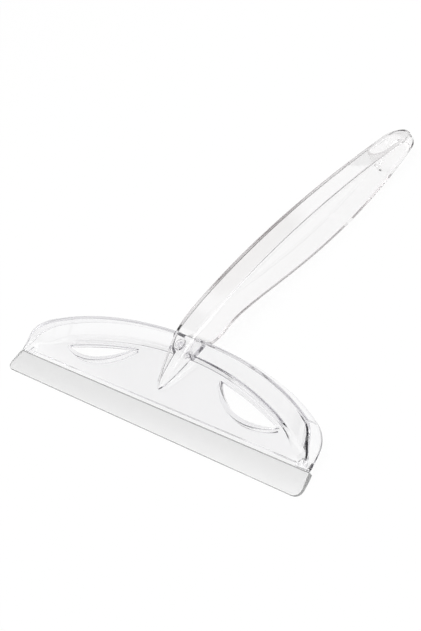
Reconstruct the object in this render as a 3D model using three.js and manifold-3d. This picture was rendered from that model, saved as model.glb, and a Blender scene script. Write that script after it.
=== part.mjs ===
// Countertop squeegee in clear moulded plastic, in millimetres.
//
// The tool is drawn flat first. X runs along the blade, Y runs from the wiping edge towards the
// handle's tail, and Z points out of the front face, whose flat part lies at Z = 0. The finished
// tool is then laid face up on a counter, on its wiping edge and the belly of its handle.

import * as THREE from 'three';
import { mergeVertices } from 'three/addons/utils/BufferGeometryUtils.js';
import Module from 'manifold-3d';

// Fit between pieces that touch
const CLEARANCE = 0.3;

// Soft blade: a sheet that thins to the wiping edge, with a groove along its thick top
const BLADE_LENGTH = 200;
const BLADE_REACH = 11.3;
const BLADE_THICKNESS = 2.8;
const BLADE_LIP = 0.9;
const BLADE_CORNER_RADIUS = 5;
const BLADE_END_SLANT = 2.4;

// Tongue along the foot of the head, with a bead at its tip that locks into the blade's groove.
// A band of it stays open to view between the blade and the plate.
const TONGUE_THICKNESS = 1;
const TONGUE_GRIP = 1.8;
const TONGUE_BAND = 2;
const TONGUE_INSET = 2.4;
const BEAD_THICKNESS = 1.4;
const BEAD_HEIGHT = 0.8;

// Head: a flat plate whose top and ends turn forward into a hollow, sloping rim
const PLATE_THICKNESS = 2;
const HEAD_HEIGHT = 48.2;
const CROWN_FALL = 14.8;
const SHOULDER_FALL = 8.6;
const CORNER_LENGTH = 8;
const END_INSET = 0.5;
const END_LEAN = 2.4;
const RIM_WIDTH = 9.25;
const RIM_END_WIDTH = 4;
const RIM_WALL = 1.2;
const SKIRT_BACK = -0.4;
const SKIRT_FLARE = 2;
const CREST_HEIGHT = 6.4;
const CREST_END_HEIGHT = 0.8;
const CREST_WIDTH = 2;
const STEP_RADIUS = 205;
const STEP_HEIGHT = 3.1;
const STEP_RUN = 1.2;
const PLATE_NARROWING = 0.97;

// Two half-moon windows under the rim, each with a raised crescent along its lower edge
const WINDOW_MARGIN = 3.2;
const WINDOW_NEAR = 28.8;
const WINDOW_FAR = 70.5;
const WINDOW_SAG = 6.9;
const WINDOW_LIP = 2;
const WINDOW_LIP_HEIGHT = 0.8;

// Handle: a channel that the head's face closes under its pointed foot, and a welded back behind it.
// Reaches are measured along Y from the top of the head's rim.
const HANDLE_WIDTH = 16;
const HANDLE_WALL = 1.3;
const HANDLE_REACH = 161.8;
const HANDLE_FALL = 36.8;
const HANDLE_EDGE = 1.2;
const HANDLE_CROWN = 7.3;
const CROWN_SETBACK = 1.8;
const SPINE_PULL = 63;
const SPINE_EASE = 1.9;
const NOSE_REACH = 29;
const NOSE_TAPER = 35.8;
const NOSE_EDGE = 0.9;
const NOSE_PULL = 22.8;
const TAIL_DEPTH = 4.5;
const TAIL_ROUNDING = 10;
const THROAT_REACH = 15.8;
const THROAT_DEPTH = 12.9;
const BELLY_START = 24;
const BELLY_EASE = 2.9;
const BELLY_PULL = 70;
const HEEL_PULL = 13;
const BACK_THICKNESS = 1.3;

// Hang slot through the handle near its tail
const SLOT_WIDTH = 9;
const SLOT_LENGTH = 20;
const SLOT_MARGIN = 5;

// Stud that fastens the handle's foot to the head, sunk in a cup under the handle's top
const STUD_SETBACK = 7.3;
const STUD_SEAT = 4.6;
const STUD_HEAD_DIAMETER = 6;
const STUD_HEAD_HEIGHT = 1.5;
const STUD_GROOVE_INNER = 2.6;
const STUD_GROOVE_OUTER = 4.2;
const STUD_GROOVE_DEPTH = 0.5;
const STUD_NUB_DIAMETER = 1.4;
const STUD_NUB_HEIGHT = 0.5;
const STUD_SHANK_DIAMETER = 3;
const STUD_TAIL_DIAMETER = 5;
const STUD_TAIL_HEIGHT = 1.2;
const CUP_WALL = 0.8;

// Facets on round stretches, and the distance under which two points count as one
const CURVE_STEPS = 14;
const END_STEPS = 5;
const CORNER_STEPS = 8;
const EDGE_STEPS = 3;
const ROUND_SIDES = 32;
const WELD = 1e-4;

// How far a cutter runs past the surface that it cuts
const OVERRUN = 5;

// Places that follow from the sizes above
const BLADE_PLANE = -PLATE_THICKNESS / 2;
const HEAD_HALF_LENGTH = BLADE_LENGTH / 2 - BLADE_END_SLANT;
const TONGUE_TIP = BLADE_REACH - TONGUE_GRIP;
const PLATE_FOOT = BLADE_REACH + TONGUE_BAND;
const HALF_WIDTH = HANDLE_WIDTH / 2;
const HEEL_Y = HEAD_HEIGHT + CLEARANCE;
const TAIL_Y = HEAD_HEIGHT + HANDLE_REACH;
const TAIL_Z = HANDLE_CROWN - HANDLE_FALL;
const BELLY_Z = TAIL_Z - TAIL_DEPTH;
const NOSE_Y = HEAD_HEIGHT - NOSE_REACH;
const STUD_Y = HEAD_HEIGHT - STUD_SETBACK;
const SLOT_Y = TAIL_Y - SLOT_MARGIN - SLOT_LENGTH / 2;

const wasm = await Module();
wasm.setup();

const point = (x, y) => new THREE.Vector2(x, y);
const mix = THREE.MathUtils.lerp;

// A closed geometry becomes a solid that can be cut and joined
function solidOf(geometry) {
  const bare = geometry.clone();
  bare.deleteAttribute('normal');
  bare.deleteAttribute('uv');
  const merged = mergeVertices(bare, WELD);
  return new wasm.Manifold(new wasm.Mesh({
    numProp: 3,
    vertProperties: merged.getAttribute('position').array,
    triVerts: Uint32Array.from(merged.getIndex().array),
  }));
}

function geometryOf(solid) {
  const mesh = solid.getMesh();
  const geometry = new THREE.BufferGeometry();
  geometry.setAttribute('position', new THREE.BufferAttribute(mesh.vertProperties, 3));
  geometry.setIndex(new THREE.BufferAttribute(mesh.triVerts, 1));
  geometry.computeVertexNormals();
  return geometry;
}

// A shape in X and Y, raised from one Z to another
function prism(shape, bottom, top) {
  const geometry = new THREE.ExtrudeGeometry(shape, {
    depth: top - bottom,
    bevelEnabled: false,
    curveSegments: CURVE_STEPS,
  });
  return solidOf(geometry.translate(0, 0, bottom));
}

// A shape in Y and Z, drawn out along X to both sides of the middle
function beam(shape, width) {
  const geometry = new THREE.ExtrudeGeometry(shape, {
    depth: width,
    bevelEnabled: false,
    curveSegments: CURVE_STEPS,
  });
  geometry.translate(0, 0, -width / 2);
  const alongX = new THREE.Matrix4().makeBasis(
    new THREE.Vector3(0, 1, 0),
    new THREE.Vector3(0, 0, 1),
    new THREE.Vector3(1, 0, 0),
  );
  return solidOf(geometry.applyMatrix4(alongX));
}

function rod(diameter, bottom, top) {
  const geometry = new THREE.CylinderGeometry(diameter / 2, diameter / 2, top - bottom, ROUND_SIDES);
  geometry.rotateX(Math.PI / 2);
  return solidOf(geometry.translate(0, STUD_Y, (bottom + top) / 2));
}

function rectangle(left, bottom, right, top) {
  return new THREE.Shape([point(left, bottom), point(right, bottom), point(right, top), point(left, top)]);
}

// Rings with the same number of points are joined side by side and closed at both ends.
// Each ring gives its points in space and, for the end caps, the same points laid flat. Rings may
// be drawn either way round: the faces are turned outwards at the end.
function loft(rings) {
  const count = rings[0].space.length;
  const positions = rings.flatMap((ring) => ring.space.flatMap((p) => [p.x, p.y, p.z]));
  const indices = [];
  for (let i = 0; i + 1 < rings.length; i += 1) {
    for (let j = 0; j < count; j += 1) {
      const a = i * count + j;
      const b = i * count + (j + 1) % count;
      indices.push(a, b, b + count, a, b + count, a + count);
    }
  }
  const last = (rings.length - 1) * count;
  const cap = (ring, start, flip) => {
    const turned = THREE.ShapeUtils.isClockWise(ring.flat) !== flip;
    for (const [a, b, c] of THREE.ShapeUtils.triangulateShape(ring.flat, [])) {
      indices.push(start + a, start + (turned ? c : b), start + (turned ? b : c));
    }
  };
  cap(rings[0], 0, true);
  cap(rings.at(-1), last, false);
  const geometry = new THREE.BufferGeometry();
  geometry.setAttribute('position', new THREE.Float32BufferAttribute(positions, 3));
  geometry.setIndex(indices);
  const solid = solidOf(geometry);
  if (solid.volume() > 0) return solid;
  geometry.setIndex(indices.reverse());
  return solidOf(geometry);
}

// Points of a round arc from one point to another, bulging to the right of the way by the sag
function arc(from, to, sag) {
  const chord = to.clone().sub(from);
  const half = chord.length() / 2;
  const radius = (half * half + sag * sag) / (2 * sag);
  const middle = from.clone().add(to).multiplyScalar(0.5);
  const left = point(-chord.y, chord.x).normalize();
  const centre = middle.addScaledVector(left, radius - sag);
  const start = from.clone().sub(centre).angle();
  const sweep = 2 * Math.asin(half / radius);
  return Array.from({ length: CURVE_STEPS + 1 }, (_, i) => {
    const angle = start + sweep * i / CURVE_STEPS;
    return point(centre.x + radius * Math.cos(angle), centre.y + radius * Math.sin(angle));
  });
}

// Outer edge of the head: a crown that falls faster towards its shoulders
function crownY(x) {
  const share = x / HEAD_HALF_LENGTH;
  return HEAD_HEIGHT - CROWN_FALL * share ** 2 - SHOULDER_FALL * share ** 4;
}

// Step line, where the plate turns up into the rim
function stepY(x) {
  return HEAD_HEIGHT - RIM_WIDTH - STEP_RADIUS + Math.sqrt(STEP_RADIUS ** 2 - x ** 2);
}

// Stations round the right half of the head, from the blade's end to the middle of the crown.
// Each has its place on the outer edge and on the step line.
function rimStations() {
  const foot = point(HEAD_HALF_LENGTH - END_INSET, BLADE_REACH + CLEARANCE);
  const peakX = foot.x - END_LEAN;
  const peak = point(peakX, crownY(peakX));
  const below = peak.clone().addScaledVector(foot.clone().sub(peak).normalize(), CORNER_LENGTH);
  const beside = point(peakX - CORNER_LENGTH, crownY(peakX - CORNER_LENGTH));
  const corner = new THREE.QuadraticBezierCurve(below, peak, beside);
  const stations = [];
  const add = (outer, stepX) => {
    const step = point(stepX, Math.min(Math.max(outer.y, foot.y), stepY(stepX)));
    const climb = THREE.MathUtils.clamp((outer.y - foot.y) / (peak.y - foot.y), 0, 1);
    const swell = Math.sin(climb * Math.PI / 2);
    stations.push({ outer, step, crest: mix(CREST_END_HEIGHT, CREST_HEIGHT, swell) });
  };
  for (let i = 0; i < END_STEPS; i += 1) {
    const outer = foot.clone().lerp(below, i / END_STEPS);
    add(outer, outer.x - RIM_END_WIDTH);
  }
  for (let i = 0; i < CORNER_STEPS; i += 1) {
    const share = i / CORNER_STEPS;
    add(corner.getPoint(share), mix(below.x - RIM_END_WIDTH, beside.x, share));
  }
  for (let i = 0; i <= CURVE_STEPS; i += 1) {
    const x = beside.x * (1 - i / CURVE_STEPS);
    add(point(x, crownY(x)), x);
  }
  return stations;
}

// Section through rim and plate at one station: n is the way in from the outer edge, z the height
function rimRing({ outer, step, crest }, side) {
  const root = point(step.x * PLATE_NARROWING, PLATE_FOOT);
  const width = outer.distanceTo(step);
  const inward = step.clone().sub(outer).normalize();
  const down = root.clone().sub(step).normalize();
  const total = width + step.distanceTo(root);
  const rise = crest / CREST_HEIGHT;
  const lean = SKIRT_FLARE * rise;
  const ledge = STEP_HEIGHT * rise;
  const front = [
    point(0, SKIRT_BACK),
    point(lean, crest),
    point(lean + CREST_WIDTH, crest),
    point(width, ledge),
    point(width + STEP_RUN * rise, 0),
    point(total, 0),
  ];
  const skirtFoot = point(RIM_WALL, SKIRT_BACK);
  const plateEdge = point(width + STEP_RUN * rise - RIM_WALL, -PLATE_THICKNESS);
  const underStep = point(width - RIM_WALL, ledge - RIM_WALL);
  const underCrest = point(lean + RIM_WALL, crest - RIM_WALL);
  const room = THREE.MathUtils.clamp((underStep.x - underCrest.x) / RIM_WALL, 0, 1);
  const back = [
    point(total, -PLATE_THICKNESS),
    plateEdge,
    plateEdge.clone().lerp(skirtFoot, 1 / 3).lerp(underStep, room),
    plateEdge.clone().lerp(skirtFoot, 2 / 3).lerp(underCrest, room),
    skirtFoot,
  ];
  const flat = [...front, ...back];
  const space = flat.map(({ x: n, y: z }) => {
    const place = n <= width
      ? outer.clone().addScaledVector(inward, n)
      : step.clone().addScaledVector(down, n - width);
    return new THREE.Vector3(side * place.x, place.y, z);
  });
  return { flat, space };
}

function headBlank() {
  const right = rimStations();
  const left = right.slice(0, -1).reverse();
  return loft([
    ...right.map((station) => rimRing(station, 1)),
    ...left.map((station) => rimRing(station, -1)),
  ]);
}

// Section of the beaded tongue in Y and Z, grown by a gap where it is the groove that takes it
function tongueShape(top, gap) {
  const neck = TONGUE_THICKNESS / 2 + gap;
  const bead = BEAD_THICKNESS / 2 + gap;
  const tip = TONGUE_TIP - gap;
  const beadTop = TONGUE_TIP + BEAD_HEIGHT + gap;
  return new THREE.Shape([
    point(tip, BLADE_PLANE - bead),
    point(beadTop, BLADE_PLANE - bead),
    point(beadTop, BLADE_PLANE - neck),
    point(top, BLADE_PLANE - neck),
    point(top, BLADE_PLANE + neck),
    point(beadTop, BLADE_PLANE + neck),
    point(beadTop, BLADE_PLANE + bead),
    point(tip, BLADE_PLANE + bead),
  ]);
}

// Outline of a half-moon window on one side, whose lower edge hangs by the sag
function windowShape(side, sag) {
  const topY = (x) => stepY(x) - WINDOW_MARGIN;
  const near = point(WINDOW_NEAR, topY(WINDOW_NEAR));
  const far = point(WINDOW_FAR, topY(WINDOW_FAR));
  const top = Array.from({ length: CURVE_STEPS - 1 }, (_, i) => {
    const x = mix(WINDOW_FAR, WINDOW_NEAR, (i + 1) / CURVE_STEPS);
    return point(x, topY(x));
  });
  return new THREE.Shape([...arc(near, far, sag), ...top].map((p) => point(side * p.x, p.y)));
}

// Plan of the handle: a parabolic nose, straight sides and a round tail, grown by a margin
function handlePlan(growth) {
  const half = HALF_WIDTH + growth;
  const noseY = NOSE_Y - growth;
  const cheekY = NOSE_Y + NOSE_TAPER;
  const shape = new THREE.Shape();
  shape.moveTo(-half, cheekY);
  for (let i = 1 - CURVE_STEPS; i <= CURVE_STEPS; i += 1) {
    const share = i / CURVE_STEPS;
    shape.lineTo(half * share, mix(noseY, cheekY, share ** 2));
  }
  shape.lineTo(half, TAIL_Y - HALF_WIDTH);
  shape.absarc(0, TAIL_Y - HALF_WIDTH, half, 0, Math.PI);
  return shape;
}

// Top line of the handle in Y and Z: up the nose, over the crown and down to the tail
function spinePoints() {
  const crown = point(HEAD_HEIGHT + CROWN_SETBACK, HANDLE_CROWN);
  const nose = point(NOSE_Y, NOSE_EDGE);
  const tail = point(TAIL_Y, TAIL_Z);
  const spine = new THREE.CurvePath();
  spine.add(new THREE.QuadraticBezierCurve(nose, point(NOSE_Y + NOSE_PULL, crown.y), crown));
  spine.add(new THREE.QuadraticBezierCurve(crown, point(crown.x + SPINE_PULL, crown.y - SPINE_EASE), tail));
  return spine.getPoints(2 * CURVE_STEPS);
}

// Underside of the handle: the heel behind the head, the throat, the long belly and the round tail
function undersidePoints() {
  const heel = point(HEEL_Y, -PLATE_THICKNESS);
  const throat = point(HEAD_HEIGHT + THROAT_REACH, HANDLE_CROWN - THROAT_DEPTH);
  const belly = point(TAIL_Y - TAIL_ROUNDING, BELLY_Z);
  const tail = point(TAIL_Y, TAIL_Z);
  const start = point(throat.x + BELLY_START, throat.y - BELLY_EASE);
  const sag = point(belly.x - BELLY_PULL, belly.y);
  const underside = new THREE.CurvePath();
  underside.add(new THREE.QuadraticBezierCurve(heel, point(throat.x - HEEL_PULL, throat.y), throat));
  underside.add(new THREE.CubicBezierCurve(throat, start, sag, belly));
  underside.add(new THREE.QuadraticBezierCurve(belly, point(tail.x, belly.y), tail));
  return underside.getPoints(2 * CURVE_STEPS);
}

// Height of a line of points at one place along Y
function heightAt(line, y) {
  const next = line.findIndex((p) => p.x >= y);
  if (next === 0) return line[0].y;
  if (next < 0) return line.at(-1).y;
  const before = line[next - 1];
  const after = line[next];
  return mix(before.y, after.y, (y - before.x) / (after.x - before.x));
}

// Outside of the handle as sections along Y: upright walls and a level top with rounded edges
function handleBlank() {
  const spine = spinePoints();
  const underside = undersidePoints();
  const cheekY = NOSE_Y + NOSE_TAPER;
  const roundY = TAIL_Y - HALF_WIDTH;
  const stations = [];
  for (let i = 1; i <= CURVE_STEPS; i += 1) {
    const share = i / CURVE_STEPS;
    stations.push({ y: mix(NOSE_Y, cheekY, share ** 2), half: HALF_WIDTH * share });
  }
  for (let i = 1; i <= 2 * CURVE_STEPS; i += 1) {
    stations.push({ y: mix(cheekY, roundY, i / (2 * CURVE_STEPS)), half: HALF_WIDTH });
  }
  for (let i = 1; i < CURVE_STEPS; i += 1) {
    const turn = i / CURVE_STEPS * Math.PI / 2;
    stations.push({ y: roundY + HALF_WIDTH * Math.sin(turn), half: HALF_WIDTH * Math.cos(turn) });
  }
  return loft(stations.map(({ y, half }) => {
    const top = heightAt(spine, y);
    const bottom = heightAt(underside, y);
    const edge = Math.min(HANDLE_EDGE, half / 2, (top - bottom) / 2);
    const round = (centreX, from) => Array.from({ length: EDGE_STEPS + 1 }, (_, i) => {
      const angle = from + i / EDGE_STEPS * Math.PI / 2;
      return point(centreX + edge * Math.cos(angle), top - edge + edge * Math.sin(angle));
    });
    const flat = [
      point(-half, bottom),
      point(half, bottom),
      ...round(half - edge, 0),
      ...round(edge - half, Math.PI / 2),
    ];
    return { flat, space: flat.map((p) => new THREE.Vector3(p.x, y, p.y)) };
  }));
}

// Room inside the handle's walls, drawn in further by a margin
function handleRoom(margin) {
  const bottom = BELLY_Z - OVERRUN;
  const roof = spinePoints().map((p) => point(p.x, p.y - HANDLE_WALL));
  const profile = new THREE.Shape([point(NOSE_Y, bottom), ...roof, point(TAIL_Y, bottom)]);
  const plan = prism(handlePlan(-HANDLE_WALL - margin), bottom, HANDLE_CROWN);
  return beam(profile, HANDLE_WIDTH).intersect(plan);
}

function hangSlot() {
  const straight = (SLOT_LENGTH - SLOT_WIDTH) / 2;
  const shape = new THREE.Shape();
  shape.absarc(0, SLOT_Y + straight, SLOT_WIDTH / 2, 0, Math.PI);
  shape.absarc(0, SLOT_Y - straight, SLOT_WIDTH / 2, Math.PI, 2 * Math.PI);
  return prism(shape, BELLY_Z - OVERRUN, HANDLE_CROWN);
}

function makeBlade() {
  const half = BLADE_LENGTH / 2;
  const r = BLADE_CORNER_RADIUS;
  const lean = BLADE_END_SLANT * r / BLADE_REACH;
  const outline = new THREE.Shape();
  outline.moveTo(r - half, 0);
  outline.lineTo(half - r, 0);
  outline.quadraticCurveTo(half, 0, half - lean, r);
  outline.lineTo(HEAD_HALF_LENGTH, BLADE_REACH);
  outline.lineTo(-HEAD_HALF_LENGTH, BLADE_REACH);
  outline.lineTo(lean - half, r);
  outline.quadraticCurveTo(-half, 0, r - half, 0);
  const thick = BLADE_THICKNESS / 2;
  const thin = BLADE_LIP / 2;
  const thickFrom = TONGUE_TIP - BEAD_HEIGHT;
  const section = new THREE.Shape([
    point(0, BLADE_PLANE - thin),
    point(thickFrom, BLADE_PLANE - thick),
    point(BLADE_REACH, BLADE_PLANE - thick),
    point(BLADE_REACH, BLADE_PLANE + thick),
    point(thickFrom, BLADE_PLANE + thick),
    point(0, BLADE_PLANE + thin),
  ]);
  const groove = beam(tongueShape(BLADE_REACH + OVERRUN, CLEARANCE), BLADE_LENGTH);
  return prism(outline, BLADE_PLANE - BLADE_THICKNESS, BLADE_PLANE + BLADE_THICKNESS)
    .intersect(beam(section, BLADE_LENGTH))
    .subtract(groove);
}

function makeHead() {
  const notch = prism(handlePlan(CLEARANCE), 0, HANDLE_CROWN + OVERRUN);
  const seatArea = rectangle(-HANDLE_WIDTH, HEAD_HEIGHT - RIM_WIDTH - STEP_RUN, HANDLE_WIDTH, HEAD_HEIGHT);
  const seat = prism(handlePlan(CLEARANCE), -PLATE_THICKNESS, 0)
    .intersect(prism(seatArea, -PLATE_THICKNESS, 0));
  const tongueLength = 2 * (HEAD_HALF_LENGTH - TONGUE_INSET);
  const tongue = beam(tongueShape(PLATE_FOOT + TONGUE_BAND, 0), tongueLength);
  const studHole = rod(STUD_SHANK_DIAMETER + 2 * CLEARANCE, -PLATE_THICKNESS - OVERRUN, OVERRUN);
  const lip = (side) => prism(windowShape(side, WINDOW_SAG + WINDOW_LIP), BLADE_PLANE, WINDOW_LIP_HEIGHT);
  const opening = (side) => prism(windowShape(side, WINDOW_SAG), -PLATE_THICKNESS - OVERRUN, OVERRUN);
  return headBlank()
    .subtract(notch)
    .add(seat)
    .add(tongue)
    .subtract(studHole)
    .add(lip(1))
    .add(lip(-1))
    .subtract(opening(1))
    .subtract(opening(-1));
}

function makeHandle() {
  const blank = handleBlank();
  const seatDiameter = STUD_HEAD_DIAMETER + 2 * CLEARANCE;
  const cup = rod(seatDiameter + 2 * CUP_WALL, 0, HANDLE_CROWN).intersect(blank);
  const footArea = rectangle(-HANDLE_WIDTH, NOSE_Y - OVERRUN, HANDLE_WIDTH, HEEL_Y);
  const underFoot = prism(footArea, -PLATE_THICKNESS - OVERRUN, CLEARANCE);
  const studSeat = rod(seatDiameter, STUD_SEAT, HANDLE_CROWN + OVERRUN);
  const studHole = rod(STUD_SHANK_DIAMETER + 2 * CLEARANCE, -OVERRUN, HANDLE_CROWN);
  return blank
    .subtract(handleRoom(0))
    .add(cup)
    .subtract(underFoot)
    .subtract(hangSlot())
    .subtract(studSeat)
    .subtract(studHole);
}

// Strip that closes the channel, flush with the edges of the handle's walls
function makeHandleBack() {
  const underside = undersidePoints();
  const inner = underside.map((p) => point(p.x, p.y + BACK_THICKNESS)).reverse();
  return beam(new THREE.Shape([...underside, ...inner]), HANDLE_WIDTH)
    .intersect(handleRoom(CLEARANCE))
    .subtract(hangSlot());
}

// Stud, turned about its own axis: grooved head with a centre nub, shank, and a spread tail
function makeStud() {
  const under = STUD_SEAT + CLEARANCE;
  const over = under + STUD_HEAD_HEIGHT;
  const plateBack = -PLATE_THICKNESS - CLEARANCE;
  const profile = [
    point(0, plateBack - STUD_TAIL_HEIGHT),
    point(STUD_SHANK_DIAMETER / 2, plateBack - STUD_TAIL_HEIGHT),
    point(STUD_TAIL_DIAMETER / 2, plateBack - STUD_TAIL_HEIGHT / 2),
    point(STUD_TAIL_DIAMETER / 2, plateBack),
    point(STUD_SHANK_DIAMETER / 2, plateBack),
    point(STUD_SHANK_DIAMETER / 2, under),
    point(STUD_HEAD_DIAMETER / 2, under),
    point(STUD_HEAD_DIAMETER / 2, over - STUD_GROOVE_DEPTH),
    point(STUD_HEAD_DIAMETER / 2 - STUD_GROOVE_DEPTH, over),
    point(STUD_GROOVE_OUTER / 2, over),
    point(STUD_GROOVE_OUTER / 2, over - STUD_GROOVE_DEPTH),
    point(STUD_GROOVE_INNER / 2, over - STUD_GROOVE_DEPTH),
    point(STUD_GROOVE_INNER / 2, over),
    point(STUD_NUB_DIAMETER / 2, over),
    point(STUD_NUB_DIAMETER / 2, over + STUD_NUB_HEIGHT / 2),
    point(0, over + STUD_NUB_HEIGHT),
  ];
  const geometry = new THREE.LatheGeometry(profile, ROUND_SIDES);
  geometry.rotateX(Math.PI / 2);
  return solidOf(geometry.translate(0, STUD_Y, 0));
}

function piece(name, solid, colour, roughness, opacity) {
  const material = new THREE.MeshStandardMaterial({
    color: colour,
    roughness,
    metalness: 0,
    transparent: true,
    opacity,
  });
  const mesh = new THREE.Mesh(geometryOf(solid), material);
  mesh.name = name;
  return mesh;
}

const tool = new THREE.Group();
tool.add(piece('head_shell', makeHead(), 0xf2f3f4, 0.06, 0.35));
tool.add(piece('handle', makeHandle(), 0xf4f1ee, 0.06, 0.35));
tool.add(piece('handle_back', makeHandleBack(), 0xf4f1ee, 0.06, 0.35));
tool.add(piece('handle_stud', makeStud(), 0xeef0f2, 0.08, 0.4));
tool.add(piece('blade', makeBlade(), 0xe2e4e5, 0.35, 0.7));

// Laid on a counter, the tool touches it along the wiping edge and where the belly hangs lowest
const edgeHeight = BLADE_PLANE - BLADE_LIP / 2;
const slopes = undersidePoints().map((p) => (edgeHeight - p.y) / p.x);
tool.rotation.x = Math.atan(Math.max(...slopes));
tool.updateMatrixWorld(true);

// The origin is under the middle of the tool, on the counter
const reach = new THREE.Box3().setFromObject(tool, true);
const middle = reach.getCenter(new THREE.Vector3());
tool.position.set(-middle.x, -middle.y, -reach.min.z);

const squeegee = new THREE.Group();
squeegee.add(tool);

export default squeegee;
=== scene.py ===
import math

import bpy
from mathutils import Matrix, Quaternion, Vector


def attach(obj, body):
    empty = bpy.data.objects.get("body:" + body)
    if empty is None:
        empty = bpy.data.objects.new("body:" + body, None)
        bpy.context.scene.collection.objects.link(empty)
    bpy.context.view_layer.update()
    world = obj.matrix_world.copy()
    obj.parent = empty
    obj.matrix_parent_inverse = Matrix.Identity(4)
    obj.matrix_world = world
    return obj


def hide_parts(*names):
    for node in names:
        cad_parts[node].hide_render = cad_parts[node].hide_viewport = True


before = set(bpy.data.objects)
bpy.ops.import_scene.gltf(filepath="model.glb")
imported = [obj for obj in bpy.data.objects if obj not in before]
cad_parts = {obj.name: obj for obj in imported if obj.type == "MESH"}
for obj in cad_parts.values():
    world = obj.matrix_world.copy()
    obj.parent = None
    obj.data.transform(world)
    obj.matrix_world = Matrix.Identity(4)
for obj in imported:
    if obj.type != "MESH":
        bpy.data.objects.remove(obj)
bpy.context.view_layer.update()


# Head shell
# One polished moulding of clear plastic: a flat plate whose top and ends turn forward into a hollow
# rim, with two collared half-moon windows, and a thin tongue along its foot that holds the blade.
lay_angle = 10.5951
lay_tilt = Matrix.Rotation(math.radians(lay_angle), 3, "X")
lay_shift = Vector((0, -0.1060042, 0.0014253))
millimetre = 0.001


def laid(x, y, z):
    """A point of the tool as drawn flat, in millimetres, becomes metres on the counter."""
    return lay_tilt @ Vector((x, y, z)) * millimetre + lay_shift


def pick(body):
    """Only this body is selected and active."""
    bpy.ops.object.select_all(action="DESELECT")
    bpy.context.view_layer.objects.active = body
    body.select_set(True)


def wrap_skin(name, rings):
    """A grid is wrapped round a row of rings, its seam is merged and its two ends are filled."""
    seam_gap = 2e-7
    bpy.ops.object.select_all(action="DESELECT")
    around = len(rings[0])
    along = len(rings) - 1
    bpy.ops.mesh.primitive_grid_add(x_subdivisions=around, y_subdivisions=along, size=1)
    skin = bpy.context.object
    skin.name = name
    skin.data.name = name
    for vertex in skin.data.vertices:
        column = round((vertex.co.x + 0.5) * around) % around
        row = round((vertex.co.y + 0.5) * along)
        vertex.co = laid(*rings[row][column])
    bpy.ops.object.mode_set(mode="EDIT")
    bpy.ops.mesh.select_all(action="SELECT")
    bpy.ops.mesh.remove_doubles(threshold=seam_gap)
    bpy.ops.mesh.fill_holes(sides=0)
    bpy.ops.mesh.normals_make_consistent(inside=False)
    bpy.ops.object.mode_set(mode="OBJECT")
    return skin


def join_solid(body, tool, operation):
    """The tool is joined to the body, or cut from it, and is then used up."""
    pick(body)
    step = body.modifiers.new("join", "BOOLEAN")
    step.operation = operation
    step.solver = "MANIFOLD"
    step.object = tool
    bpy.ops.object.modifier_apply(modifier=step.name)
    body.data.materials.clear()
    bpy.data.objects.remove(tool)


def polish(body):
    """Faces blend across soft edges, and large flat faces stay flat."""
    sharp_from = 32
    pick(body)
    bpy.ops.object.shade_smooth_by_angle(angle=math.radians(sharp_from))
    evening = body.modifiers.new("evening", "WEIGHTED_NORMAL")
    evening.keep_sharp = True
    bpy.ops.object.modifier_apply(modifier=evening.name)


def unit(value):
    """The value, held between 0 and 1."""
    return min(1, max(0, value))


def eased(corners, steps=6):
    """A closed outline whose corners (across, up, radius) are rounded off."""
    points = []
    count = len(corners)
    longest = 0.45
    for i, (across, up, radius) in enumerate(corners):
        corner = Vector((across, up))
        before = Vector(corners[i - 1][:2]) - corner
        after = Vector(corners[(i + 1) % count][:2]) - corner
        start = corner + before * min(longest, radius / max(before.length, 1e-6))
        end = corner + after * min(longest, radius / max(after.length, 1e-6))
        for k in range(steps + 1):
            t = k / steps
            points.append(start.lerp(corner, t).lerp(corner.lerp(end, t), t))
    return points


def prism(name, outline, bottom, top):
    """A flat outline in X and Y, raised from one height to another."""
    return wrap_skin(name, [[(p[0], p[1], z) for p in outline] for z in (bottom, top)])


def beam(name, section, half_length):
    """A section in Y and Z, drawn out along X to both sides of the middle."""
    return wrap_skin(name, [[(x, p[0], p[1]) for p in section] for x in (-half_length, half_length)])


bond = 0.05
head_height = 48.2
head_half_length = 97.6
blade_reach = 11.3
plate_foot = 13.3
plate_back = -2
rim_foot = Vector((97.1, 11.6))
rim_end_width = 5


def crown_y(x):
    """The head's outer edge."""
    bow = 14.8
    shoulder = 8.6
    share = x / head_half_length
    return head_height - bow * share**2 - shoulder * share**4


def step_y(x):
    """The step line, an arc where the rim meets the plate."""
    drop = 9.25
    radius = 205
    return head_height - drop - radius + math.sqrt(radius**2 - x**2)


def rim_stations():
    """Places on the outer edge and the step line, from the right end to the middle of the crown."""
    corner_reach = 8
    end_slant = 2.4
    end_crest = 0.6
    crest_gain = 5.8
    peak_x = rim_foot.x - end_slant
    peak = Vector((peak_x, crown_y(peak_x)))
    below = peak + (rim_foot - peak).normalized() * corner_reach
    beside = Vector((peak_x - corner_reach, crown_y(peak_x - corner_reach)))
    found = []

    def crest_at(outer):
        climb = unit((outer.y - rim_foot.y) / (peak.y - rim_foot.y))
        return end_crest + crest_gain * math.sin(climb * math.pi / 2)

    def add(outer, step_x):
        step = Vector((step_x, min(max(outer.y, rim_foot.y), step_y(step_x))))
        found.append((outer, step, crest_at(outer)))

    end_steps, corner_steps, crown_steps = 50, 110, 120
    for i in range(end_steps):
        outer = rim_foot.lerp(below, i / end_steps)
        add(outer, outer.x - rim_end_width)
    for i in range(corner_steps):
        t = i / corner_steps
        outer = below.lerp(peak, t).lerp(peak.lerp(beside, t), t)
        add(outer, below.x - rim_end_width + (beside.x - below.x + rim_end_width) * t)
    for i in range(crown_steps + 1):
        x = beside.x * (1 - i / crown_steps)
        add(Vector((x, crown_y(x))), x)
    return found


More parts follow.
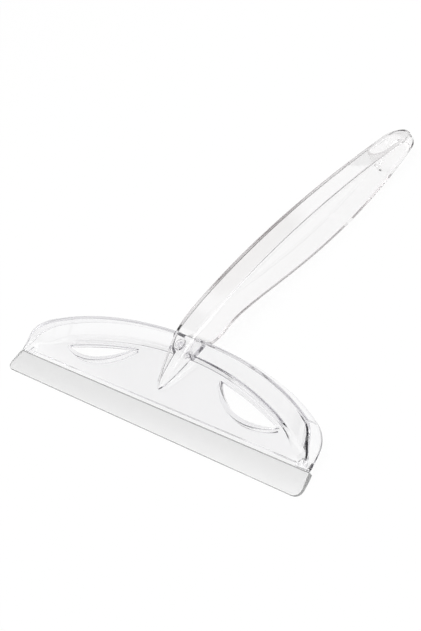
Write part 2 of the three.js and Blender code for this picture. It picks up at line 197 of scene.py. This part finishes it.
def rim_ring(outer, step, crest, side):
    """Section through rim and plate: across from the outer edge, then up from the plate's face."""
    crest_height, crest_lean, crest_width = 6.4, 2, 2
    ledge_height, ledge_end, ledge_fade, ledge_run = 3.1, 84, 14, 1.2
    rim_wall, rim_thinning, full_width = 1.2, 0.4, 9
    bead_reach, bead_bottom, bead_top, face_foot = 0.35, -0.5, 0.2, 0.5
    solid_run, plate_taper = 4, 0.97
    root = Vector((step.x * plate_taper, min(plate_foot, max(outer.y, rim_foot.y))))
    width = (step - outer).length
    total = width + (root - step).length
    rise = crest / crest_height
    lean = crest_lean * rise
    fade = unit((ledge_end - step.x) / ledge_fade)
    ledge = ledge_height * rise * (0.1 + 0.9 * fade)
    foot = width + ledge_run * rise
    near_end = unit((full_width - width) / (full_width - rim_end_width))
    wall = rim_wall - rim_thinning * near_end
    skirt = Vector((wall, bead_bottom))
    edge = Vector((min(total - 0.2, foot - wall + solid_run * (1 - fade)), plate_back))
    room = unit((width - lean) / wall - 2)
    inner_step = edge.lerp(skirt, 1 / 3).lerp(Vector((width - wall, ledge - wall)), room)
    inner_crest = edge.lerp(skirt, 2 / 3).lerp(Vector((lean + wall, crest - wall)), room)
    soft = 0.25 + 0.75 * rise
    section = eased([
        (-bead_reach, bead_bottom, 0.2),
        (-bead_reach, bead_top, 0.2),
        (0, face_foot, 0.3),
        (lean, crest, 0.3 * soft),
        (lean + crest_width - 0.2 * near_end, crest, 0.3 * soft),
        (width, ledge, 0.6 * soft),
        (foot, 0, 0.6 * soft),
        (total, 0, 0.01),
        (total, plate_back, 0.01),
        (*edge, 0.4 * soft),
        (*inner_step, 0.4 * soft),
        (*inner_crest, 0.3 * soft),
        (*skirt, 0.35),
    ])
    inward = (step - outer).normalized()
    down = (root - step).normalized()
    ring = []
    for n, z in section:
        place = outer + inward * n if n <= width else step + down * (n - width)
        ring.append((side * place.x, place.y, z))
    return ring


grip_half = 8
nose_y = 19.2
nose_length = 35.8
tail_y = 202


def handle_plan(growth, steps=24):
    """Plan of the handle's foot and grip: a parabolic nose, straight sides and a round tail."""
    half = grip_half + growth
    outline = []
    for i in range(-steps, steps + 1):
        share = i / steps
        outline.append((half * share, nose_y - growth + (nose_length + growth) * share**2))
    for i in range(steps + 1):
        turn = math.pi * i / steps
        outline.append((half * math.cos(turn), tail_y + half * math.sin(turn)))
    return outline


window_near = 28.8
window_far = 70.5
window_drop = 3.2
window_sag = 6.9
window_steps = 40


def window_arc(side, growth):
    """Lower edge of a half-moon window, from its inner tip to its outer tip."""
    near = Vector((window_near, step_y(window_near) - window_drop))
    far = Vector((window_far, step_y(window_far) - window_drop))
    half = (far - near).length / 2
    radius = (half * half + window_sag * window_sag) / (2 * window_sag)
    way = (far - near).normalized()
    centre = (near + far) / 2 + Vector((-way.y, way.x)) * (radius - window_sag)
    sweep = 2 * math.asin(half / radius)
    start = math.atan2(near.y - centre.y, near.x - centre.x)
    found = []
    for i in range(window_steps + 1):
        turn = start + sweep * i / window_steps
        place = centre + Vector((math.cos(turn), math.sin(turn))) * (radius + growth)
        found.append((side * place.x, place.y))
    return found


def window_brow(side, rise):
    """The line of a window's upper edge, from its inner tip to its outer tip, moved up the plate."""
    found = []
    for i in range(window_steps + 1):
        x = window_near + (window_far - window_near) * i / window_steps
        found.append((side * x, step_y(x) - window_drop + rise))
    return found


def window_cutter(side):
    """The half-moon between a window's two edges, through the whole plate."""
    reach = 8
    outline = window_arc(side, 0) + window_brow(side, 0)[-2:0:-1]
    return prism("window_cutter", outline, -reach, reach)


def window_lip(inner, middle, outer, height):
    """A low lip with steep sides that runs along an edge of a window and thins out at the tips."""
    steepness = 0.25
    tip_share = 0.1
    collar_back = -2.8
    steps = 16
    rings = []
    for i, (a, b, c) in enumerate(zip(inner, middle, outer)):
        share = i / (len(inner) - 1)
        swell = tip_share + (1 - tip_share) * math.sin(math.pi * share) ** 0.4
        aside = (Vector(c) - Vector(a)) / 2
        ring = []
        for k in range(steps + 1):
            turn = math.pi * k / steps
            across = math.copysign(abs(math.cos(turn)) ** steepness, math.cos(turn)) * swell
            place = Vector(b) + aside * across
            ring.append((*place, height * swell * math.sin(turn) ** steepness))
        ring.append((*ring[-1][:2], collar_back))
        ring.append((*ring[0][:2], collar_back))
        rings.append(ring)
    return wrap_skin("window_lip", rings)


right_half = rim_stations()
rings = [rim_ring(*station, 1) for station in right_half]
rings += [rim_ring(*station, -1) for station in right_half[-2::-1]]
head = wrap_skin("head_shell_clear", rings)
notch_top = 12
join_solid(head, prism("notch", handle_plan(-bond), 0, notch_top), "DIFFERENCE")
seat = prism("seat", handle_plan(-bond), plate_back, 0)
seat_half = 16
seat_foot = 37.7
seat_area = [
    (-seat_half, seat_foot), (seat_half, seat_foot), (seat_half, head_height), (-seat_half, head_height),
]
seat_margin = 0.5
join_solid(seat, prism("seat_area", seat_area, plate_back - seat_margin, seat_margin), "INTERSECT")
join_solid(head, seat, "UNION")
tongue_foot = blade_reach - bond
tongue_top = 15.3
tongue_back = -1.5
tongue_front = -0.5
tongue_half_length = 95.2
tongue_section = [
    (tongue_foot, tongue_back), (tongue_top, tongue_back),
    (tongue_top, tongue_front), (tongue_foot, tongue_front),
]
join_solid(head, beam("tongue", tongue_section, tongue_half_length), "UNION")
lower_lip_lines = (-0.2, 0.9, 2)
lower_lip_height = 1.6
upper_lip_lines = (-0.2, 0.5, 1.2)
upper_lip_height = 0.8
for side in (1, -1):
    lower = [window_arc(side, growth) for growth in lower_lip_lines]
    join_solid(head, window_lip(*lower, lower_lip_height), "UNION")
    upper = [window_brow(side, rise) for rise in upper_lip_lines]
    join_solid(head, window_lip(*upper, upper_lip_height), "UNION")
    join_solid(head, window_cutter(side), "DIFFERENCE")
polish(head)


def see_through(name, surface, roughness, ior, depth_colour, density):
    """Plastic that light passes, and that takes a tint with depth."""
    material = bpy.data.materials.new(name)
    material.use_nodes = True
    nodes, links = material.node_tree.nodes, material.node_tree.links
    shader = nodes["Principled BSDF"]
    shader.inputs["Base Color"].default_value = surface
    shader.inputs["Roughness"].default_value = roughness
    shader.inputs["IOR"].default_value = ior
    shader.inputs["Transmission Weight"].default_value = 1
    depth_tint = nodes.new("ShaderNodeVolumeAbsorption")
    depth_tint.inputs["Color"].default_value = depth_colour
    depth_tint.inputs["Density"].default_value = density
    links.new(depth_tint.outputs[0], nodes["Material Output"].inputs["Volume"])
    return material


def surface_detail(material, stretch, smooth, dull, depth):
    """Noise on the piece's own coordinates varies the gloss and ripples the skin by a depth in metres."""
    nodes, links = material.node_tree.nodes, material.node_tree.links
    shader = nodes["Principled BSDF"]
    place = nodes.new("ShaderNodeTexCoord")
    scale = nodes.new("ShaderNodeMapping")
    scale.inputs["Scale"].default_value = stretch
    links.new(place.outputs["Object"], scale.inputs["Vector"])
    noise = nodes.new("ShaderNodeTexNoise")
    noise.inputs["Scale"].default_value = 1
    noise.inputs["Detail"].default_value = 1
    links.new(scale.outputs["Vector"], noise.inputs["Vector"])
    gloss = nodes.new("ShaderNodeMapRange")
    gloss.inputs["To Min"].default_value = smooth
    gloss.inputs["To Max"].default_value = dull
    links.new(noise.outputs["Fac"], gloss.inputs["Value"])
    links.new(gloss.outputs["Result"], shader.inputs["Roughness"])
    ripple = nodes.new("ShaderNodeBump")
    ripple.inputs["Strength"].default_value = 1
    ripple.inputs["Distance"].default_value = depth
    links.new(noise.outputs["Fac"], ripple.inputs["Height"])
    links.new(ripple.outputs["Normal"], shader.inputs["Normal"])


clear_head = see_through(
    "clear_head", surface=(1, 1, 1, 1), roughness=0.02, ior=1.5,
    depth_colour=(0.52, 0.5, 0.56, 1), density=50,
)
surface_detail(clear_head, stretch=(40, 40, 40), smooth=0.01, dull=0.03, depth=0.000008)
head.data.materials.append(clear_head)
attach(head, "root")
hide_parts("head_shell")


# Handle
# A hollow clear grip: a channel whose welded back closes it, so that only its walls show. Its
# pointed foot sits on the head's face, and a long slot near the tail takes a hook.
def bend(points, steps):
    """Points of a Bezier curve."""
    found = []
    for i in range(steps + 1):
        t = i / steps
        row = [Vector(p) for p in points]
        while len(row) > 1:
            row = [a.lerp(b, t) for a, b in zip(row, row[1:])]
        found.append(row[0])
    return found


def height_at(line, y):
    """Height of a side line of the handle at a place along it."""
    for a, b in zip(line, line[1:]):
        if a.x <= y <= b.x and b.x > a.x:
            return a.y + (b.y - a.y) * (y - a.x) / (b.x - a.x)
    return line[0].y if y < line[0].x else line[-1].y


heel_y = 48.5
nose_end = 55
grip_wall = 1.3
nose_top = (nose_y, 0.35)
grip_top = (50, 7.3)
tail_tip = (210, -29.5)
neck = (64, -5.6)
belly = (200, -34)
spine = bend([nose_top, (42, grip_top[1]), grip_top], 60)
spine += bend([grip_top, (113, 5.4), tail_tip], 240)
underside = bend([(heel_y, plate_back), (51, neck[1]), neck], 60)
underside += bend([neck, (88, -8.5), (130, belly[1]), belly], 240)
underside += bend([belly, (tail_tip[0], belly[1]), tail_tip], 60)


def handle_stations(growth):
    """Places along the handle, from nose to tail, with its half width there."""
    half = grip_half + growth
    start = nose_y - growth
    reach = nose_length + growth
    heel_gap = 0.05
    nose_steps, grip_steps, tail_steps = 60, 240, 33
    nose = []
    for i in range(1, nose_steps + 1):
        nose.append((start + reach * (i / nose_steps) ** 2, half * i / nose_steps))
    for y in (heel_y - heel_gap, heel_y + heel_gap):
        nose.append((y, half * math.sqrt((y - nose_y + growth) / reach)))
    found = sorted(nose)
    for i in range(1, grip_steps + 1):
        found.append((nose_end + (tail_y - nose_end) * i / grip_steps, half))
    for i in range(1, tail_steps):
        turn = math.pi / 2 * i / tail_steps
        found.append((tail_y + half * math.sin(turn), half * math.cos(turn)))
    return found


def fitting_edge(radius, half, height):
    """The radius of an edge, made smaller where the section has no room for it."""
    return min(radius, half * 0.6, height * 0.45)


def box_ring(y, half, bottom, top, right_edge, left_edge, keel):
    """Section of the handle: a box whose two upper edges and two lower edges are rounded."""
    section = eased([
        (half, bottom, keel),
        (half, top, right_edge),
        (-half, top, left_edge),
        (-half, bottom, keel),
    ], 10)
    return [(x, y, z) for x, z in section]


outer_edge = 1.8
outer_keel = 1.2
foot_keel = 0.05
outer_rings = []
for y, half in handle_stations(0):
    top = height_at(spine, y)
    if y < heel_y:
        bottom = -bond
        keel = foot_keel
    else:
        bottom = height_at(underside, y)
        keel = min(outer_keel, 0.2 + 0.2 * (y - heel_y))
        if y > tail_y:
            keel = min(keel, half * 0.5)
    edge = fitting_edge(outer_edge, half, top - bottom)
    outer_rings.append(box_ring(y, half, bottom, top, edge, edge, keel))
handle = wrap_skin("handle_clear", outer_rings)
foot_floor = -1
nose_wall = 0.6
nose_gain = 0.7
nose_run = 20
ridge_start = 42
ridge_run = 14
ridge_sharpening = 0.72
flank_softening = 0.6
inner_edge = 1.2
inner_keel = 0.3
inner_rings = []
for y, half in handle_stations(-grip_wall):
    bottom = foot_floor if y < heel_y else height_at(underside, y) + grip_wall
    top = height_at(spine, y) - nose_wall - nose_gain * unit((y - 20) / nose_run)
    past_nose = unit((y - ridge_start) / ridge_run)
    right_edge = fitting_edge(inner_edge - ridge_sharpening * past_nose, half, top - bottom)
    left_edge = fitting_edge(inner_edge + flank_softening * past_nose, half, top - bottom)
    keel = min(inner_keel, half * 0.5)
    inner_rings.append(box_ring(y, half, bottom, top, right_edge, left_edge, keel))
hollow = wrap_skin("inside", inner_rings)


def slot_outline(radius, steps=24):
    """The hang slot's outline: two half circles and the straight sides between them."""
    near, far = 189.5, 200.5
    found = []
    for centre, first in ((far, 0), (near, steps)):
        for i in range(first, first + steps + 1):
            turn = math.pi * i / steps
            found.append((radius * math.cos(turn), centre + radius * math.sin(turn)))
    return found


slot_radius = 4.5
slot_wall = 1.5
slot_depth = (-60, 20)
join_solid(hollow, prism("slot_wall", slot_outline(slot_radius + slot_wall), *slot_depth), "DIFFERENCE")
join_solid(handle, hollow, "DIFFERENCE")
join_solid(handle, prism("slot", slot_outline(slot_radius), *slot_depth), "DIFFERENCE")
polish(handle)

clear_handle = clear_head.copy()
clear_handle.name = "clear_handle"
depth_tint = clear_handle.node_tree.nodes["Volume Absorption"]
depth_tint.inputs["Color"].default_value = (0.56, 0.52, 0.53, 1)
depth_tint.inputs["Density"].default_value = 38
handle.data.materials.append(clear_handle)
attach(handle, "root")
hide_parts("handle")
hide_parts("handle_back")


# Blade
# A soft, hazy strip that thins to its wiping edge, with rounded corners and slanting, matt cut ends.
# Its thick top grips the head's tongue; that joint is hidden in the haze and isn't drawn here.
blade_half_length = 100
corner_reach = 5
corner_side = 98.94
blade_outline = []
for side in (1, -1):
    before = ((blade_half_length - corner_reach) * side, 0)
    tip = (blade_half_length * side, 0)
    corner = bend([before, tip, (corner_side * side, corner_reach)], 12)
    line = corner + [Vector((head_half_length * side, blade_reach))]
    blade_outline += line if side > 0 else line[::-1]
blank_back = -4
blank_front = 2
blank_half_length = 105
blade = prism("blade_soft", blade_outline, blank_back, blank_front)
blade_back = -2.4
blade_front = 0.4
edge_back = -1.45
edge_front = -0.55
taper_top = 8.7
blade_section = [
    (0, edge_back), (taper_top, blade_back), (blade_reach, blade_back),
    (blade_reach, blade_front), (taper_top, blade_front), (0, edge_front),
]
join_solid(blade, beam("blade_section", blade_section, blank_half_length), "INTERSECT")
rounding = blade.modifiers.new("rounding", "BEVEL")
rounding.width = 0.35 * millimetre
rounding.segments = 4
rounding.limit_method = "ANGLE"
rounding.angle_limit = math.radians(35)
bpy.ops.object.modifier_apply(modifier="rounding")
polish(blade)

cut_end_slant = 0.55
flat = lay_tilt.inverted()
for face in blade.data.polygons:
    across = abs((flat @ face.normal).x)
    face.material_index = 1 if across > cut_end_slant else 0

hazy = see_through(
    "soft_blade", surface=(0.97, 0.97, 0.97, 1), roughness=0.15, ior=1.45,
    depth_colour=(0.5, 0.5, 0.5, 1), density=108,
)
surface_detail(hazy, stretch=(12, 500, 500), smooth=0.08, dull=0.22, depth=0.00002)
blade.data.materials.append(hazy)
cut_end = hazy.copy()
cut_end.name = "cut_end"
cut_end.node_tree.nodes["Principled BSDF"].inputs["Transmission Weight"].default_value = 0.6
blade.data.materials.append(cut_end)
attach(blade, "root")
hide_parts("blade")


# Stud
# A small turned pin of clear plastic, pressed through the handle's foot and the head's plate. Its
# head shows a ring groove and a centre nub, and its tail is spread at the back of the plate.
stud_y = 40.9
stud_sides = 48
stud_profile = [
    (0.02, -3.5), (1.3, -3.5), (2.5, -2.95), (2.5, -2.35), (1.45, -2.3), (1.45, 4.85),
    (2.9, 4.9), (3, 5), (3, 5.9), (2.85, 6.2), (2.5, 6.4), (2.2, 6.4), (2.1, 6.3), (2.1, 6),
    (2, 5.9), (1.4, 5.9), (1.3, 6), (1.3, 6.3), (1.2, 6.4), (0.8, 6.4), (0.68, 6.5), (0.6, 6.7),
    (0.4, 6.85), (0.02, 6.9),
]
rings = []
for radius, z in stud_profile:
    ring = []
    for i in range(stud_sides):
        turn = 2 * math.pi * i / stud_sides
        ring.append((radius * math.cos(turn), stud_y + radius * math.sin(turn), z))
    rings.append(ring)
stud = wrap_skin("stud_clear", rings)
polish(stud)
clear_stud = clear_head.copy()
clear_stud.name = "clear_stud"
stud.data.materials.append(clear_stud)
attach(stud, "root")
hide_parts("handle_stud")


# Floor
# A sheet of white paper. What looks at it straight, by reflection or through the plastic finds it lit
# evenly, and a small share of plain paper keeps the tool's shadow.
def empty_tree(owner):
    """The nodes and links of a material or world, with nothing in them yet."""
    owner.use_nodes = True
    owner.node_tree.nodes.clear()
    return owner.node_tree.nodes, owner.node_tree.links


def looked_at(nodes, links):
    """A socket that is 1 for light seen straight, by reflection or through the plastic, and else 0."""
    path = nodes.new("ShaderNodeLightPath")
    found = path.outputs["Is Camera Ray"]
    for kind in ("Is Glossy Ray", "Is Transmission Ray"):
        either = nodes.new("ShaderNodeMath")
        either.operation = "MAXIMUM"
        links.new(found, either.inputs[0])
        links.new(path.outputs[kind], either.inputs[1])
        found = either.outputs[0]
    return found


floor_size = 8
even_share = 0.96
bpy.ops.object.select_all(action="DESELECT")
bpy.ops.mesh.primitive_plane_add(size=floor_size)
floor = bpy.context.object
floor.name = "floor"
paper = bpy.data.materials.new("paper")
nodes, links = empty_tree(paper)
out = nodes.new("ShaderNodeOutputMaterial")
mix = nodes.new("ShaderNodeMixShader")
diffuse = nodes.new("ShaderNodeBsdfDiffuse")
diffuse.inputs["Color"].default_value = (0.9, 0.9, 0.9, 1)
glow = nodes.new("ShaderNodeEmission")
share = nodes.new("ShaderNodeMath")
share.operation = "MULTIPLY"
share.inputs[1].default_value = even_share
links.new(looked_at(nodes, links), share.inputs[0])
links.new(share.outputs[0], mix.inputs["Fac"])
links.new(diffuse.outputs[0], mix.inputs[1])
links.new(glow.outputs[0], mix.inputs[2])
links.new(mix.outputs[0], out.inputs["Surface"])
floor.data.materials.append(paper)

# World
# A white studio tent round the table. It is at full strength where it is seen, straight, by reflection
# or through the plastic, and half as strong where it lights the paper.
world = bpy.data.worlds.new("studio")
bpy.context.scene.world = world
nodes, links = empty_tree(world)
out = nodes.new("ShaderNodeOutputWorld")
back = nodes.new("ShaderNodeBackground")
back.inputs["Color"].default_value = (1, 1, 1, 1)
level = nodes.new("ShaderNodeMapRange")
level.inputs["To Min"].default_value = 0.5
level.inputs["To Max"].default_value = 1.0
links.new(looked_at(nodes, links), level.inputs["Value"])
links.new(level.outputs[0], back.inputs["Strength"])
links.new(back.outputs[0], out.inputs["Surface"])


# Cards
# A low ring of dark card round the table, paler towards its top. It draws the dark lines in the edges
# of the clear plastic, as black cards do in a studio.
def keep_out_of_sight(card):
    """A card of the studio is met by reflections, but isn't seen itself, and casts no shadow."""
    card.visible_camera = False
    card.visible_diffuse = False
    card.visible_shadow = False


card_bottom = 0.02
card_top = 0.47
card_radius = 1.2
card_top_glow = 0.5
bpy.ops.object.select_all(action="DESELECT")
bpy.ops.mesh.primitive_cylinder_add(
    vertices=48,
    radius=card_radius,
    depth=card_top - card_bottom,
    end_fill_type="NOTHING",
    location=(0, 0, (card_bottom + card_top) / 2),
)
cards = bpy.context.object
cards.name = "cards"
card_paint = bpy.data.materials.new("card_paint")
nodes, links = empty_tree(card_paint)
out = nodes.new("ShaderNodeOutputMaterial")
glow = nodes.new("ShaderNodeEmission")
place = nodes.new("ShaderNodeNewGeometry")
split = nodes.new("ShaderNodeSeparateXYZ")
links.new(place.outputs["Position"], split.inputs[0])
ramp = nodes.new("ShaderNodeMapRange")
ramp.interpolation_type = "SMOOTHSTEP"
ramp.inputs["From Min"].default_value = card_bottom
ramp.inputs["From Max"].default_value = card_top
ramp.inputs["To Min"].default_value = 0.0
ramp.inputs["To Max"].default_value = card_top_glow
links.new(split.outputs["Z"], ramp.inputs["Value"])
links.new(ramp.outputs[0], glow.inputs["Strength"])
links.new(glow.outputs[0], out.inputs["Surface"])
cards.data.materials.append(card_paint)
keep_out_of_sight(cards)


# Panels
# Three dull panels in the tent, where the plate, the rim and the grip mirror the studio. They
# take some of the glare off those faces.
def soft_panel(name, azimuth, elevation, wide, high, tone):
    """A dull panel that only reflections see. Its tone fades to white towards its edges."""
    bpy.ops.object.select_all(action="DESELECT")
    bpy.ops.mesh.primitive_plane_add(size=1)
    panel = bpy.context.object
    panel.name = name
    turn, lift = math.radians(azimuth), math.radians(elevation)
    way = Vector((math.sin(turn) * math.cos(lift), math.cos(turn) * math.cos(lift), math.sin(lift)))
    distance = 1.4
    panel.location = way * distance
    panel.rotation_mode = "QUATERNION"
    panel.rotation_quaternion = way.to_track_quat("Z", "Y")
    across = 2 * distance * math.tan(math.radians(wide / 2))
    along = 2 * distance * math.tan(math.radians(high / 2))
    panel.scale = (across, along, 1)
    paint = bpy.data.materials.new(name)
    nodes, links = empty_tree(paint)
    out = nodes.new("ShaderNodeOutputMaterial")
    glow = nodes.new("ShaderNodeEmission")
    place = nodes.new("ShaderNodeTexCoord")
    split = nodes.new("ShaderNodeSeparateXYZ")
    links.new(place.outputs["Object"], split.inputs[0])
    reach = nodes.new("ShaderNodeMath")
    reach.operation = "MAXIMUM"
    for axis, socket in zip("XY", reach.inputs):
        size = nodes.new("ShaderNodeMath")
        size.operation = "ABSOLUTE"
        links.new(split.outputs[axis], size.inputs[0])
        links.new(size.outputs[0], socket)
    fade = nodes.new("ShaderNodeMapRange")
    fade.interpolation_type = "SMOOTHSTEP"
    fade.inputs["From Min"].default_value = 0.32
    fade.inputs["From Max"].default_value = 0.5
    links.new(reach.outputs[0], fade.inputs["Value"])
    blend = nodes.new("ShaderNodeMix")
    blend.data_type = "RGBA"
    blend.inputs["A"].default_value = (*tone, 1)
    blend.inputs["B"].default_value = (1, 1, 1, 1)
    links.new(fade.outputs[0], blend.inputs["Factor"])
    links.new(blend.outputs["Result"], glow.inputs["Color"])
    links.new(glow.outputs[0], out.inputs["Surface"])
    panel.data.materials.append(paint)
    keep_out_of_sight(panel)
    panel.visible_transmission = False


black = (0.0, 0.0, 0.0)
red_brown = (0.12, 0.03, 0.0)
soft_panel("plate_panel", azimuth=-80, elevation=46, wide=15, high=28, tone=black)
soft_panel("rim_panel", azimuth=-114, elevation=27.5, wide=28, high=16, tone=black)
soft_panel("grip_panel", azimuth=-57, elevation=34, wide=18, high=16, tone=red_brown)

# Lamp
# A large round softbox that hangs straight above the table. It gives the tool the soft shadow that
# the paper shows.
lamp = bpy.data.lights.new("softbox", "AREA")
lamp.shape = "DISK"
lamp.size = 1.2
lamp.energy = 12
softbox = bpy.data.objects.new("softbox", lamp)
softbox.location = (0.0, 0.0, 1.2)
bpy.context.scene.collection.objects.link(softbox)

# Camera
# Fitted to the photo by the tool's mirrored features. Light may bounce often, because the thin walls
# of clear plastic lie many layers deep.
focal_pixels = 1200
photo_height = 631
bounces = 40
lens = bpy.data.cameras.new("camera")
lens.sensor_width = 36
lens.lens = focal_pixels * lens.sensor_width / photo_height
lens.clip_start = 0.01
camera = bpy.data.objects.new("camera", lens)
camera.rotation_mode = "QUATERNION"
camera.location = (0.382732, -0.276018, 0.327956)
camera.rotation_quaternion = Quaternion((0.850032, 0.340858, 0.310137, 0.255100))
scene = bpy.context.scene
scene.collection.objects.link(camera)
scene.camera = camera
scene.view_settings.view_transform = "Standard"
scene.cycles.max_bounces = bounces
scene.cycles.transmission_bounces = bounces
scene.cycles.glossy_bounces = bounces
